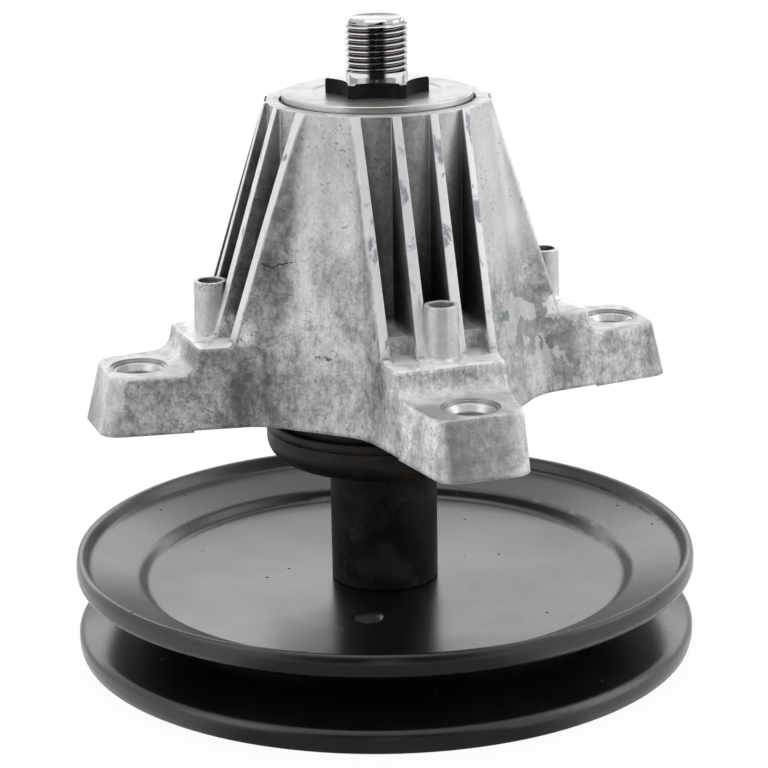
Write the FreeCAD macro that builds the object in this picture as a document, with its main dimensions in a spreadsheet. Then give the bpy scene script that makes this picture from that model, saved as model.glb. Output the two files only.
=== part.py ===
import FreeCAD, Part
import Sketcher
import math
import os

# Driving sizes in millimetres and degrees: alias, value, what it is
SIZES = [
    ("pulley_dia", 164.4, "outside diameter of the pulley"),
    ("pulley_height", 25.4, "height of the pulley over both lips"),
    ("sheet", 3.1, "thickness of the pulley discs"),
    ("flange_width", 18.6, "radial width of the pulley's flange"),
    ("flange_rise", 1.95, "rise of the bend from web to flange"),
    ("lip_drop", 5.7, "height of the turned lip"),
    ("lip_lean", 0.5, "how far the lip's top leans in"),
    ("lip_bend", 2.2, "outer bend radius from flange to lip"),
    ("weld_circle", 65.4, "circle of the two weld marks"),
    ("weld_dia", 8.0, "diameter of a weld mark"),
    ("weld_depth", 0.7, "depth of a weld mark"),
    ("weld_turn", -116.7, "angle of the first weld mark"),
    ("sleeve_length", 34.5, "length of the sleeve from the pulley to the cup"),
    ("neck_length", 9.2, "length of the sleeve's neck from the cup to the bearing"),
    ("hub_cover", 1.5, "how far the hub reaches past the lower bearing"),
    ("hub_drop", 8.0, "how far the hub hangs below the mounting face"),
    ("tower_height", 78.8, "height of the housing above its mounting face"),
    ("ring_wall", 4.9, "wall of the top ring outside the bearing"),
    ("hub_wall", 4.7, "wall of the hub outside the bearing"),
    ("relief", 0.5, "relief of the underside inside the foot pads"),
    ("fin_proud", 0.7, "how far the fins stand proud of the top ring"),
    ("cone_spread", 18.3, "how far the arm cone spreads from the ring to the ledge"),
    ("panel_spread", 10.7, "how far a panel spreads from the ring to the mounting face"),
    ("arm_low", 17.5, "half width of an arm beside the panel, mounting face"),
    ("arm_flare", 8.9, "plan taper of an arm's side"),
    ("arm_draft", 3.0, "draft of an arm's side"),
    ("blend_low", 16.0, "blend radius from panel to arm, mounting face"),
    ("blend_top", 5.0, "blend radius from panel to arm, top ring"),
    ("ledge_height", 21.5, "height of the ledge above the mounting face"),
    ("ledge_run", 6.1, "width of the ledge outside the cone"),
    ("ledge_round", 1.3, "radius of the ledge's edge"),
    ("step_round", 4.6, "radius from the ledge's step into the foot"),
    ("foot_height", 14.7, "height of a foot's top face above the mounting face"),
    ("foot_length", 24.7, "reach of a foot past the ledge"),
    ("toe_lean", 3.7, "lean of a foot's end"),
    ("toe_round", 5.2, "radius of a foot's end corners"),
    ("bolt_inset", 12.3, "distance of a foot's hole from its toe"),
    ("bolt_hole", 9.5, "diameter of a foot's hole"),
    ("spot_dia", 14.2, "diameter of the spot face over a hole"),
    ("sill_back", 7.7, "how far the sill under the slots stands back from the cone at the ledge"),
    ("sill_height", 4.6, "height of the slots' floor above the ledge"),
    ("slot_mid", 3.8, "half width of the middle slot"),
    ("fin", 2.1, "thickness of an inner fin at the top"),
    ("slot_side", 13.3, "outer wall of the side slots"),
    ("slot_draft", 0.45, "draft of the slot walls"),
    ("post_height", 13.7, "height of a post above the ledge"),
    ("post_dia", 8.3, "diameter of a post at its top"),
    ("bearing_od", 47.0, "outside diameter of a bearing"),
    ("bearing_id", 20.0, "bore of a bearing"),
    ("bearing_width", 14.0, "width of a bearing"),
    ("ball_count", 8, "balls in one bearing"),
    ("race_gap", 0.06, "running gap between balls and rings"),
    ("fit", 0.02, "radial gap of a seated fit"),
    ("disc_thick", 2.2, "thickness of the blade disc's rim"),
    ("star_cut", 11.5, "radius of a star valley"),
    ("star_height", 3.8, "height of the star"),
    ("star_turn", -18.6, "angle of the first star point"),
    ("stud_step", 4.12, "how much smaller than the bearing's bore the threads are"),
    ("stud_length", 13.8, "length of the blade end's thread"),
    ("neck_run", 1.4, "plain neck between star and thread"),
    ("cup_gap", 1.0, "gap between the flinger cup and the hub"),
    ("cup_height", 10.7, "height of the flinger cup"),
    ("cup_wall", 1.4, "wall thickness of the cup"),
    ("cup_round", 5.6, "outer bend radius of the cup"),
]

# Sizes worked out from the driving ones, from the pulley upwards
DERIVED = [
    ("web_dia", "=pulley_dia - 2 * flange_width"),
    ("web_mid", "=pulley_height / 2"),
    ("web_top", "=web_mid + sheet"),
    ("flange_slope", "=(web_mid - lip_drop - flange_rise) / (flange_width + 0.2)"),
    ("flange_skin", "=sheet * sqrt(1 + flange_slope ^ 2)"),
    ("cup_low", "=web_top + sleeve_length"),
    ("cup_rim", "=cup_low + cup_height"),
    ("pulley_bearing_z", "=cup_low + neck_length"),
    ("hub_low", "=pulley_bearing_z - hub_cover"),
    ("mount_z", "=hub_low + hub_drop"),
    ("pad_z", "=mount_z + foot_height"),
    ("ledge_z", "=mount_z + ledge_height"),
    ("slot_floor", "=ledge_z + sill_height"),
    ("post_top", "=ledge_z + post_height"),
    ("tower_top", "=mount_z + tower_height"),
    ("blade_bearing_z", "=tower_top - bearing_width - 2.2"),
    ("disc_low", "=tower_top - 0.5"),
    ("disc_top", "=disc_low + disc_thick"),
    ("star_z", "=disc_top - 0.2"),
    ("star_top", "=star_z + star_height"),
    ("stud_start", "=star_top + neck_run"),
    ("stud_top", "=stud_start + stud_length"),
    ("ring_dia", "=bearing_od + 2 * ring_wall"),
    ("hub_dia", "=bearing_od + 2 * hub_wall"),
    ("cup_dia", "=hub_dia + 2 * (cup_gap + cup_wall)"),
    ("cone_low_dia", "=ring_dia + 2 * cone_spread"),
    ("panel_top", "=ring_dia / 2"),
    ("panel_low", "=panel_top + panel_spread"),
    ("arm_low_at", "=panel_low - 1.2"),
    ("flare", "=tan(arm_flare * 1 deg)"),
    ("arm_top", "=arm_low - tan(arm_draft * 1 deg) * tower_height"),
    ("corner_low", "=(panel_low * sqrt(2) - arm_low - flare * arm_low_at) / (1 - flare)"),
    ("corner_top", "=(panel_top * sqrt(2) - arm_top - flare * arm_low_at) / (1 - flare)"),
    ("slot_reach", "=cone_low_dia / 2 + 3"),
    ("sill_at", "=cone_low_dia / 2 - sill_back"),
    ("sill_edge", "=sill_at + tan(slot_draft * 1 deg) * (tower_top - slot_floor)"),
    ("post_at", "=cone_low_dia / 2 - 1.1"),
    ("ledge_reach", "=cone_low_dia / 2 + ledge_run"),
    ("toe_low", "=ledge_reach + foot_length"),
    ("toe_top", "=toe_low - toe_lean"),
    ("toe_slope", "=toe_lean / foot_height"),
    ("arm_reach", "=toe_low + 6"),
    ("bolt_circle", "=2 * (toe_low - bolt_inset)"),
    ("relief_dia", "=bolt_circle - 16.4"),
    ("ball_circle", "=(bearing_od + bearing_id) / 2"),
    ("ball_dia", "=(bearing_od - bearing_id) * 0.2911"),
    ("ball_mid", "=bearing_width / 2"),
    ("shoulder_out", "=ball_circle / 2 + ball_dia / 3"),
    ("shoulder_in", "=ball_circle / 2 - ball_dia / 3"),
    ("shaft_r", "=bearing_id / 2 - fit"),
    ("disc_dia", "=bearing_od + 1.9"),
    ("star_dia", "=bearing_id + 6.4"),
    ("star_valley", "=bearing_id + 0.6"),
    ("stud_dia", "=bearing_id - stud_step"),
    ("stud_neck", "=stud_dia - 1.28"),
    ("seat_dia", "=stud_dia + 1.52"),
    ("seat_flats", "=seat_dia - 3"),
    ("seat_low", "=web_mid - sheet + 0.3"),
    ("seat_high", "=web_top + 0.8"),
    ("sleeve_dia", "=bearing_id + 8.3"),
    ("neck_dia", "=bearing_id + 5.2"),
    ("nut_flats", "=stud_dia + 8.12"),
    ("nut_flange", "=nut_flats + 7"),
    ("nut_height", "=web_mid - sheet - 1.2"),
    ("cover", "=2 * toe_low"),
]

doc = FreeCAD.newDocument("mower_deck_spindle")
sheet = doc.addObject("Spreadsheet::Sheet", "dim")
nodes = []


def fill_sheet():
    rows = [(alias, str(value), note) for alias, value, note in SIZES]
    rows += [(alias, formula, "worked out") for alias, formula in DERIVED]
    for row, (alias, text, note) in enumerate(rows, 1):
        sheet.set("A%d" % row, note)
        sheet.set("B%d" % row, text)
        sheet.setAlias("B%d" % row, alias)
    doc.recompute()


def val(text):
    """Number that an expression on the sheet has now."""
    return float(sheet.evalExpression(text))


# Helpers for bodies, sketches and features

def new_body(label):
    body = doc.addObject("PartDesign::Body", label)
    body.Label = label
    nodes.append(body)
    return body


def origin_of(body, role):
    return [part for part in body.Origin.OriginFeatures if part.Role == role][0]


def new_sketch(body, name, plane, lift="0"):
    sketch = body.newObject("Sketcher::SketchObject", name)
    sketch.AttachmentSupport = [(origin_of(body, plane), "")]
    sketch.MapMode = "FlatFace"
    if lift != "0":
        sketch.setExpression("AttachmentOffset.Base.z", lift)
    return sketch


def drive(sketch, constraint, text):
    index = sketch.addConstraint(constraint)
    sketch.setExpression("Constraints[%d]" % index, text)


def pin(sketch, item, end, across, along):
    """Holds a point at two expressions measured from the sketch origin."""
    for kind, axis, text in (("DistanceX", -2, across), ("DistanceY", -1, along)):
        if text == "0":
            sketch.addConstraint(Sketcher.Constraint("PointOnObject", item, end, axis))
        else:
            drive(sketch, Sketcher.Constraint(kind, -1, 1, item, end, val(text)), text)


def round_corner(sketch, before, after, corner, radius):
    """Rounds the corner between two lines and drives the radius."""
    back = sketch.Geometry[before].StartPoint - corner
    ahead = sketch.Geometry[after].EndPoint - corner
    back.normalize()
    ahead.normalize()
    size = val(radius)
    sketch.fillet(before, after, corner + back * size, corner + ahead * size, size, True, True)
    arcs = [i for i, item in enumerate(sketch.Geometry) if isinstance(item, Part.ArcOfCircle)]
    drive(sketch, Sketcher.Constraint("Radius", arcs[-1], size), radius)


def polygon(sketch, corners):
    """Closed outline: each corner is two expressions and, if rounded, a radius."""
    first = len(sketch.Geometry)
    points = [FreeCAD.Vector(val(corner[0]), val(corner[1]), 0) for corner in corners]
    count = len(points)
    for start, finish in zip(points, points[1:] + points[:1]):
        sketch.addGeometry(Part.LineSegment(start, finish))
    for i in range(count):
        following = first + (i + 1) % count
        sketch.addConstraint(Sketcher.Constraint("Coincident", first + i, 2, following, 1))
    for i, corner in enumerate(corners):
        pin(sketch, first + i, 1, corner[0], corner[1])
    for i, corner in enumerate(corners):
        if len(corner) == 3:
            before = first + (i - 1) % count
            round_corner(sketch, before, first + i, points[i], corner[2])
    return sketch


def circle(sketch, across, along, radius):
    centre = FreeCAD.Vector(val(across), val(along), 0)
    shape = Part.Circle(centre, FreeCAD.Vector(0, 0, 1), val(radius))
    index = sketch.addGeometry(shape)
    pin(sketch, index, 3, across, along)
    drive(sketch, Sketcher.Constraint("Radius", index, val(radius)), radius)
    return sketch


def double_flat(sketch, radius, flats):
    """Round hole with two flats."""
    r, h = val(radius), val(flats) / 2
    a = math.asin(h / r)
    x = r * math.cos(a)
    ring = Part.Circle(FreeCAD.Vector(0, 0, 0), FreeCAD.Vector(0, 0, 1), r)
    sketch.addGeometry([
        Part.ArcOfCircle(ring, -a, a),
        Part.LineSegment(FreeCAD.Vector(x, h, 0), FreeCAD.Vector(-x, h, 0)),
        Part.ArcOfCircle(ring, math.pi - a, math.pi + a),
        Part.LineSegment(FreeCAD.Vector(-x, -h, 0), FreeCAD.Vector(x, -h, 0)),
    ])
    for i in range(4):
        sketch.addConstraint(Sketcher.Constraint("Coincident", i, 2, (i + 1) % 4, 1))
    for arc in (0, 2):
        sketch.addConstraint(Sketcher.Constraint("Coincident", arc, 3, -1, 1))
    sketch.addConstraint(Sketcher.Constraint("Equal", 0, 2))
    sketch.addConstraint(Sketcher.Constraint("Horizontal", 1))
    sketch.addConstraint(Sketcher.Constraint("Horizontal", 3))
    drive(sketch, Sketcher.Constraint("Radius", 0, r), radius)
    drive(sketch, Sketcher.Constraint("DistanceY", -1, 1, 1, 1, h), "(%s) / 2" % flats)
    drive(sketch, Sketcher.Constraint("DistanceY", 3, 1, -1, 1, h), "(%s) / 2" % flats)
    return sketch


def revolve(body, name, sketch, kind="Revolution"):
    feature = body.newObject("PartDesign::" + kind, name)
    feature.Profile = sketch
    feature.ReferenceAxis = (sketch, ["V_Axis"])
    feature.Angle = 360
    return feature


def turned(body, name, corners, kind="Revolution"):
    """Turned form: corners are radius and height expressions."""
    sketch = polygon(new_sketch(body, name + "_section", "XZ_Plane"), corners)
    return revolve(body, name, sketch, kind)


def pad(body, name, sketch, length):
    feature = body.newObject("PartDesign::Pad", name)
    feature.Profile = sketch
    feature.setExpression("Length", length)
    return feature


def pocket(body, name, sketch, length, upward=False):
    feature = body.newObject("PartDesign::Pocket", name)
    feature.Profile = sketch
    feature.setExpression("Length", length)
    feature.Reversed = upward
    return feature


def around(body, name, originals, count):
    """Repeats features evenly about the axis."""
    pattern = body.newObject("PartDesign::PolarPattern", name)
    pattern.Originals = originals
    pattern.Axis = (origin_of(body, "Z_Axis"), [""])
    pattern.Angle = 360
    pattern.setExpression("Occurrences", count)
    body.Tip = pattern
    return pattern


def primitive(body, kind, name, sizes, across, height, along="0"):
    """Primitive feature standing beside the axis at a height."""
    feature = body.newObject("PartDesign::" + kind, name)
    for key, text in sizes.items():
        feature.setExpression(key, text)
    feature.setExpression("Placement.Base.x", across)
    feature.setExpression("Placement.Base.y", along)
    feature.setExpression("Placement.Base.z", height)
    return feature


def round_edges(body, name, wanted, radius):
    """Fillet on the edges of the body's tip that pass a test."""
    doc.recompute()
    base = body.Tip
    numbered = enumerate(base.Shape.Edges, 1)
    names = ["Edge%d" % number for number, edge in numbered if wanted(edge)]
    feature = body.newObject("PartDesign::Fillet", name)
    feature.Base = (base, names)
    feature.setExpression("Radius", radius)
    doc.recompute()
    return feature


def stand(body, height):
    body.setExpression("Placement.Base.z", height)


# Housing: one quarter is lofted with its panels, repeated, then cut to cone, ledge and foot

def arm_section(body, name, height, flat, half, corner, blend):
    """Quarter of the housing in plan: two half panels, two blends, one arm along X."""
    edge = "%s - dim.flare * (dim.arm_reach - dim.arm_low_at)" % half
    turn_y = "%s * sqrt(2) - %s" % (flat, corner)
    middle = "%s / sqrt(2)" % flat
    return polygon(new_sketch(body, name, "XY_Plane", height), [
        ("0", "0"),
        (middle, "-(%s)" % middle),
        (corner, "-(%s)" % turn_y, blend),
        ("dim.arm_reach", "-(%s)" % edge),
        ("dim.arm_reach", edge),
        (corner, turn_y, blend),
        (middle, middle),
    ])


def arms(body):
    low = arm_section(body, "plan_low", "dim.mount_z", "dim.panel_low",
                      "dim.arm_low", "dim.corner_low", "dim.blend_low")
    top = arm_section(body, "plan_top", "dim.tower_top", "dim.panel_top",
                      "dim.arm_top", "dim.corner_top", "dim.blend_top")
    arm = body.newObject("PartDesign::AdditiveLoft", "arm")
    arm.Profile = low
    arm.Sections = [top]
    arm.Ruled = True
    around(body, "arms", [arm], "4")


def cone_and_feet(body):
    """Cuts the cone of the arms, the ledge with its step, and the drafted toes."""
    turned(body, "arm_cone", [
        ("dim.cone_low_dia / 2", "dim.ledge_z", "2.2"),
        ("dim.ring_dia / 2 + dim.fin_proud", "dim.tower_top"),
        ("dim.cover", "dim.tower_top"),
        ("dim.cover", "dim.ledge_z"),
    ], "Groove")
    steps = polygon(new_sketch(body, "foot_steps", "XZ_Plane"), [
        ("dim.ledge_reach - 4", "dim.ledge_z + 3"),
        ("dim.ledge_reach - 4", "dim.ledge_z"),
        ("dim.ledge_reach", "dim.ledge_z", "dim.ledge_round"),
        ("dim.ledge_reach + 1.2", "dim.pad_z", "dim.step_round"),
        ("dim.toe_top", "dim.pad_z"),
        ("dim.toe_low + 3 * dim.toe_slope", "dim.mount_z - 3"),
        ("dim.arm_reach + 9", "dim.mount_z - 3"),
        ("dim.arm_reach + 9", "dim.ledge_z + 3"),
    ])
    cut = pocket(body, "foot_cut", steps, "4 * dim.arm_low")
    cut.Midplane = True
    around(body, "foot_cuts", [cut], "4")
    underside = new_sketch(body, "underside", "XY_Plane", "dim.mount_z")
    circle(underside, "0", "0", "dim.relief_dia / 2")
    pocket(body, "underside_relief", underside, "dim.relief", True)


def is_toe_corner(edge):
    """Sloping corner between a foot's end and its side."""
    if len(edge.Vertexes) != 2:
        return False
    low, high = sorted((vertex.Point for vertex in edge.Vertexes), key=lambda p: p.z)
    reach = max(abs(low.x), abs(low.y))
    upright = abs(low.z - val("dim.mount_z")) < 0.05 and abs(high.z - val("dim.pad_z")) < 0.05
    return upright and abs(reach - val("dim.toe_low")) < 0.05


def is_foot_rim(edge):
    """Edge round the top face of a foot, out to its end."""
    level = all(abs(vertex.Z - val("dim.pad_z")) < 0.01 for vertex in edge.Vertexes)
    if not level or len(edge.Vertexes) != 2:
        return False
    middle = edge.valueAt((edge.FirstParameter + edge.LastParameter) / 2)
    reach = max(abs(middle.x), abs(middle.y))
    return reach > val("dim.ledge_reach + 1.2 + dim.step_round + 1")


def slot_plan(body, name, inner_mid, inner_side):
    """Plan of the three slots of one arm, open outwards, from two inner distances."""
    sketch = new_sketch(body, name, "XY_Plane", "dim.tower_top")
    near, far = "dim.slot_mid + dim.fin", "dim.slot_side"
    for inner, low, high in ((inner_mid, "-dim.slot_mid", "dim.slot_mid"),
                             (inner_side, near, far),
                             (inner_side, "-(%s)" % far, "-(%s)" % near)):
        polygon(sketch, [(inner, low), ("dim.slot_reach", low), ("dim.slot_reach", high), (inner, high)])
    return sketch


def is_sill_edge(edge):
    """Edge of a sill between the slots' floor and the ledge."""
    level = all(abs(vertex.Z - val("dim.slot_floor")) < 0.01 for vertex in edge.Vertexes)
    if not level or len(edge.Vertexes) != 2:
        return False
    reaches = [max(abs(vertex.X), abs(vertex.Y)) for vertex in edge.Vertexes]
    return all(abs(reach - val("dim.sill_edge")) < 0.05 for reach in reaches)


def slots(body):
    """Deep slots between the fins down to a sill, and the tube that shows behind them."""
    deep = slot_plan(body, "slot_plan", "dim.bearing_od / 2 - 5.5", "dim.bearing_od / 2 - 9.5")
    outer = slot_plan(body, "sill_plan", "dim.sill_at", "dim.sill_at")
    cuts = [pocket(body, "slot_cut", deep, "dim.tower_top - dim.slot_floor"),
            pocket(body, "sill_cut", outer, "dim.tower_top - dim.ledge_z")]
    for cut in cuts:
        cut.setExpression("TaperAngle", "-dim.slot_draft")
    around(body, "slot_cuts", cuts, "4")
    round_edges(body, "sill_rounds", is_sill_edge, "1")
    turned(body, "tube", [
        ("dim.bearing_od / 2 - 5", "dim.slot_floor - 3"),
        ("dim.ring_dia / 2 + 1.1", "dim.slot_floor - 3"),
        ("dim.ring_dia / 2 - 0.1", "dim.tower_top"),
        ("dim.bearing_od / 2 - 5", "dim.tower_top"),
    ])


def posts(body):
    foot = "dim.ledge_z - 3.5"
    height = "dim.post_top - (%s)" % foot
    post = primitive(body, "AdditiveCone", "post", {
        "Radius1": "dim.post_dia / 2 + 0.45",
        "Radius2": "dim.post_dia / 2",
        "Height": height,
    }, "dim.post_at", foot)
    around(body, "posts", [post], "4")
    eye = primitive(body, "SubtractiveCylinder", "post_eye", {
        "Radius": "dim.post_dia / 2 - 1",
        "Height": "4",
    }, "dim.post_at", "dim.post_top - 2.4")
    around(body, "post_eyes", [eye], "4")


def foot_holes(body):
    at = "dim.bolt_circle / 2"
    hole = primitive(body, "SubtractiveCylinder", "foot_hole", {
        "Radius": "dim.bolt_hole / 2",
        "Height": "dim.pad_z - dim.mount_z + 4",
    }, at, "dim.mount_z - 2")
    spot = primitive(body, "SubtractiveCylinder", "spot_face", {
        "Radius": "dim.spot_dia / 2",
        "Height": "3",
    }, at, "dim.pad_z - 0.45")
    step = primitive(body, "SubtractiveCylinder", "spot_step", {
        "Radius": "dim.spot_dia / 2 - 0.7",
        "Height": "3",
    }, at, "dim.pad_z - 0.95")
    sink = primitive(body, "SubtractiveCone", "foot_sink", {
        "Radius1": "dim.bolt_hole / 2",
        "Radius2": "dim.spot_dia / 2 - 1.2",
        "Height": "1.9",
    }, at, "dim.pad_z - 2.7")
    around(body, "foot_holes", [hole, spot, step, sink], "4")


def hub_and_bore(body):
    hub, seat = "dim.hub_dia / 2", "dim.bearing_od / 2 + dim.fit"
    shoulder = "dim.bearing_od / 2 - 2.5"
    turned(body, "hub", [
        (shoulder, "dim.hub_low"),
        (hub, "dim.hub_low", "1"),
        (hub, "dim.mount_z + 8"),
        (shoulder, "dim.mount_z + 8"),
    ])
    turned(body, "bore", [
        ("0", "dim.hub_low - 2"),
        (seat, "dim.hub_low - 2"),
        (seat, "dim.pulley_bearing_z + dim.bearing_width"),
        (shoulder, "dim.pulley_bearing_z + dim.bearing_width"),
        (shoulder, "dim.blade_bearing_z"),
        (seat, "dim.blade_bearing_z"),
        (seat, "dim.blade_bearing_z + dim.bearing_width + 0.6"),
        ("dim.disc_dia / 2 + 0.75", "dim.blade_bearing_z + dim.bearing_width + 0.6"),
        ("dim.disc_dia / 2 + 0.75", "dim.tower_top + 2"),
        ("0", "dim.tower_top + 2"),
    ], "Groove")
    turned(body, "cup_recess", [
        (hub, "dim.mount_z - 1"),
        ("dim.cup_dia / 2 + 2.9", "dim.mount_z - 1"),
        ("dim.cup_dia / 2 + 2.6", "dim.mount_z + 5", "1.5"),
        (hub, "dim.mount_z + 5", "1.5"),
    ], "Groove")
    core = new_sketch(body, "leg_core_plan", "XY_Plane", "dim.mount_z")
    polygon(core, [
        ("dim.cup_dia / 2 + 6.4", "-8", "2"),
        ("dim.ledge_reach + 0.5", "-8", "2"),
        ("dim.ledge_reach + 0.5", "8", "2"),
        ("dim.cup_dia / 2 + 6.4", "8", "2"),
    ])
    cut = pocket(body, "leg_core", core, "10", True)
    around(body, "leg_cores", [cut], "4")


def housing():
    body = new_body("housing")
    arms(body)
    cone_and_feet(body)
    round_edges(body, "toe_rounds", is_toe_corner, "dim.toe_round")
    round_edges(body, "foot_rims", is_foot_rim, "1.1")
    slots(body)
    posts(body)
    foot_holes(body)
    hub_and_bore(body)


# Bearings: rings, seals, cage and balls, drawn from the bearing's lower face

def race(body, name):
    sketch = new_sketch(body, name + "_section", "XZ_Plane")
    circle(sketch, "dim.ball_circle / 2", "dim.ball_mid", "dim.ball_dia / 2 + dim.race_gap")
    revolve(body, name, sketch, "Groove")


def bearing(side):
    height = "dim.%s_bearing_z" % side
    width = "dim.bearing_width"
    outer = new_body(side + "_bearing_outer")
    turned(outer, side + "_outer_ring", [
        ("dim.shoulder_out + 1", "0"),
        ("dim.bearing_od / 2", "0", "0.8"),
        ("dim.bearing_od / 2", width, "0.8"),
        ("dim.shoulder_out + 1", width),
        ("dim.shoulder_out + 1", width + " - 1.3"),
        ("dim.shoulder_out", width + " - 1.3"),
        ("dim.shoulder_out", "1.3"),
        ("dim.shoulder_out + 1", "1.3"),
    ])
    race(outer, side + "_outer_race")
    stand(outer, height)
    inner = new_body(side + "_bearing_inner")
    turned(inner, side + "_inner_ring", [
        ("dim.bearing_id / 2", "0", "0.6"),
        ("dim.shoulder_in", "0"),
        ("dim.shoulder_in", width),
        ("dim.bearing_id / 2", width, "0.6"),
    ])
    race(inner, side + "_inner_race")
    stand(inner, height)
    for end, low in (("low", "0.3"), ("high", width + " - 1.3")):
        seal = new_body("%s_bearing_seal_%s" % (side, end))
        turned(seal, "%s_seal_%s_ring" % (side, end), [
            ("dim.shoulder_in + 0.4", low),
            ("dim.shoulder_out + 0.96", low),
            ("dim.shoulder_out + 0.96", low + " + 1"),
            ("dim.shoulder_in + 0.4", low + " + 1"),
        ])
        stand(seal, height)
    cage_and_balls(side, height)


def cage_and_balls(side, height):
    cage = new_body(side + "_bearing_cage")
    turned(cage, side + "_cage_ring", [
        ("dim.ball_circle / 2 - 1.5", "dim.ball_mid - 1"),
        ("dim.ball_circle / 2 + 1.5", "dim.ball_mid - 1"),
        ("dim.ball_circle / 2 + 1.5", "dim.ball_mid + dim.ball_dia / 2 + 1.25"),
        ("dim.ball_circle / 2 - 1.5", "dim.ball_mid + dim.ball_dia / 2 + 1.25"),
    ])
    nest = primitive(cage, "SubtractiveSphere", side + "_ball_nest", {
        "Radius": "dim.ball_dia / 2 + 0.15",
    }, "dim.ball_circle / 2", "dim.ball_mid")
    around(cage, side + "_ball_nests", [nest], "dim.ball_count")
    stand(cage, height)
    balls = []
    for k in range(int(val("dim.ball_count"))):
        ball = doc.addObject("Part::Sphere", "%s_ball_%d" % (side, k + 1))
        angle = "360 deg / dim.ball_count * %d" % k
        ball.setExpression("Radius", "dim.ball_dia / 2")
        ball.setExpression("Placement.Base.x", "dim.ball_circle / 2 * cos(%s)" % angle)
        ball.setExpression("Placement.Base.y", "dim.ball_circle / 2 * sin(%s)" % angle)
        ball.setExpression("Placement.Base.z", "%s + dim.ball_mid" % height)
        balls.append(ball)
    group = doc.addObject("Part::Compound", side + "_bearing_balls")
    group.Label = side + "_bearing_balls"
    group.Links = balls
    nodes.append(group)


# Shaft with its star, and the pieces clamped on it

def spindle_shaft():
    body = new_body("spindle_shaft")
    stud, neck, seat = "dim.stud_dia / 2", "dim.stud_neck / 2", "dim.seat_dia / 2"
    turned(body, "shaft", [
        ("0", "0.6"),
        (stud + " - 1", "0.6"),
        (stud, "1.6"),
        (stud, "dim.seat_low - 0.7"),
        ("dim.seat_flats / 2 - 0.05", "dim.seat_low - 0.7"),
        ("dim.seat_flats / 2 - 0.05", "dim.seat_low"),
        (seat, "dim.seat_low"),
        (seat, "dim.seat_high"),
        ("dim.shaft_r", "dim.seat_high"),
        ("dim.shaft_r", "dim.star_z"),
        ("dim.star_dia / 2", "dim.star_z"),
        ("dim.star_dia / 2", "dim.star_top - 1.1"),
        ("dim.star_valley / 2 - 0.3", "dim.star_top"),
        (neck, "dim.star_top"),
        (neck, "dim.stud_start"),
        (stud, "dim.stud_start + 0.6"),
        (stud, "dim.stud_top - 1.3"),
        (stud + " - 1.3", "dim.stud_top"),
        ("0", "dim.stud_top"),
    ])
    valley = new_sketch(body, "valley_plan", "XY_Plane", "dim.star_top")
    half_step = "dim.star_valley / 2 + dim.star_cut"
    angle = "(30 + dim.star_turn) * 1 deg"
    across = "(%s) * cos(%s)" % (half_step, angle)
    along = "(%s) * sin(%s)" % (half_step, angle)
    circle(valley, across, along, "dim.star_cut")
    cut = pocket(body, "valley", valley, "dim.star_height")
    around(body, "valleys", [cut], "6")
    flats = new_sketch(body, "flat_plan", "XY_Plane", "dim.seat_high")
    for sign in ("", "-"):
        polygon(flats, [
            ("-dim.seat_dia", sign + "dim.seat_flats / 2"),
            ("dim.seat_dia", sign + "dim.seat_flats / 2"),
            ("dim.seat_dia", sign + "dim.seat_dia"),
            ("-dim.seat_dia", sign + "dim.seat_dia"),
        ])
    pocket(body, "seat_flats", flats, "dim.seat_high - dim.seat_low")


def blade_disc():
    body = new_body("blade_disc")
    hole = "dim.shaft_r + 0.1"
    seat = "dim.blade_bearing_z + dim.bearing_width"
    turned(body, "disc", [
        (hole, seat),
        ("dim.bearing_id / 2 + 3.2", seat),
        ("dim.bearing_id / 2 + 3.2", "dim.disc_low"),
        ("dim.disc_dia / 2", "dim.disc_low", "0.3"),
        ("dim.disc_dia / 2", "dim.disc_top", "0.35"),
        ("dim.disc_dia / 2 - 7.25", "dim.disc_top"),
        ("dim.disc_dia / 2 - 7.45", "dim.star_z"),
        (hole, "dim.star_z"),
    ])


def clamped_tubes():
    spacer = new_body("bearing_spacer")
    low, high = "dim.pulley_bearing_z + dim.bearing_width", "dim.blade_bearing_z"
    turned(spacer, "spacer", [
        ("dim.shaft_r + 0.15", low),
        ("dim.bearing_id / 2 + 3", low),
        ("dim.bearing_id / 2 + 3", high),
        ("dim.shaft_r + 0.15", high),
    ])
    sleeve = new_body("spacer_sleeve")
    turned(sleeve, "sleeve", [
        ("dim.shaft_r + 0.1", "dim.web_top"),
        ("dim.sleeve_dia / 2", "dim.web_top", "0.5"),
        ("dim.sleeve_dia / 2", "dim.cup_low"),
        ("dim.neck_dia / 2", "dim.cup_low"),
        ("dim.neck_dia / 2", "dim.pulley_bearing_z"),
        ("dim.shaft_r + 0.1", "dim.pulley_bearing_z"),
    ])
    cup = new_body("flinger_cup")
    hole, rim = "dim.neck_dia / 2 + 0.05", "dim.cup_dia / 2"
    turned(cup, "cup", [
        (hole, "dim.cup_low"),
        (rim, "dim.cup_low", "dim.cup_round"),
        (rim, "dim.cup_rim - 2.5"),
        (rim + " - 0.7", "dim.cup_rim - 2.1"),
        (rim + " - 0.3", "dim.cup_rim - 1.7"),
        (rim + " - 0.3", "dim.cup_rim", "0.4"),
        (rim + " - dim.cup_wall", "dim.cup_rim", "0.3"),
        (rim + " - dim.cup_wall", "dim.cup_low + dim.cup_wall", "dim.cup_round - dim.cup_wall"),
        (hole, "dim.cup_low + dim.cup_wall"),
    ])


# Pulley: two pressed discs, one the mirror image of the other, and the nut under them

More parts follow.
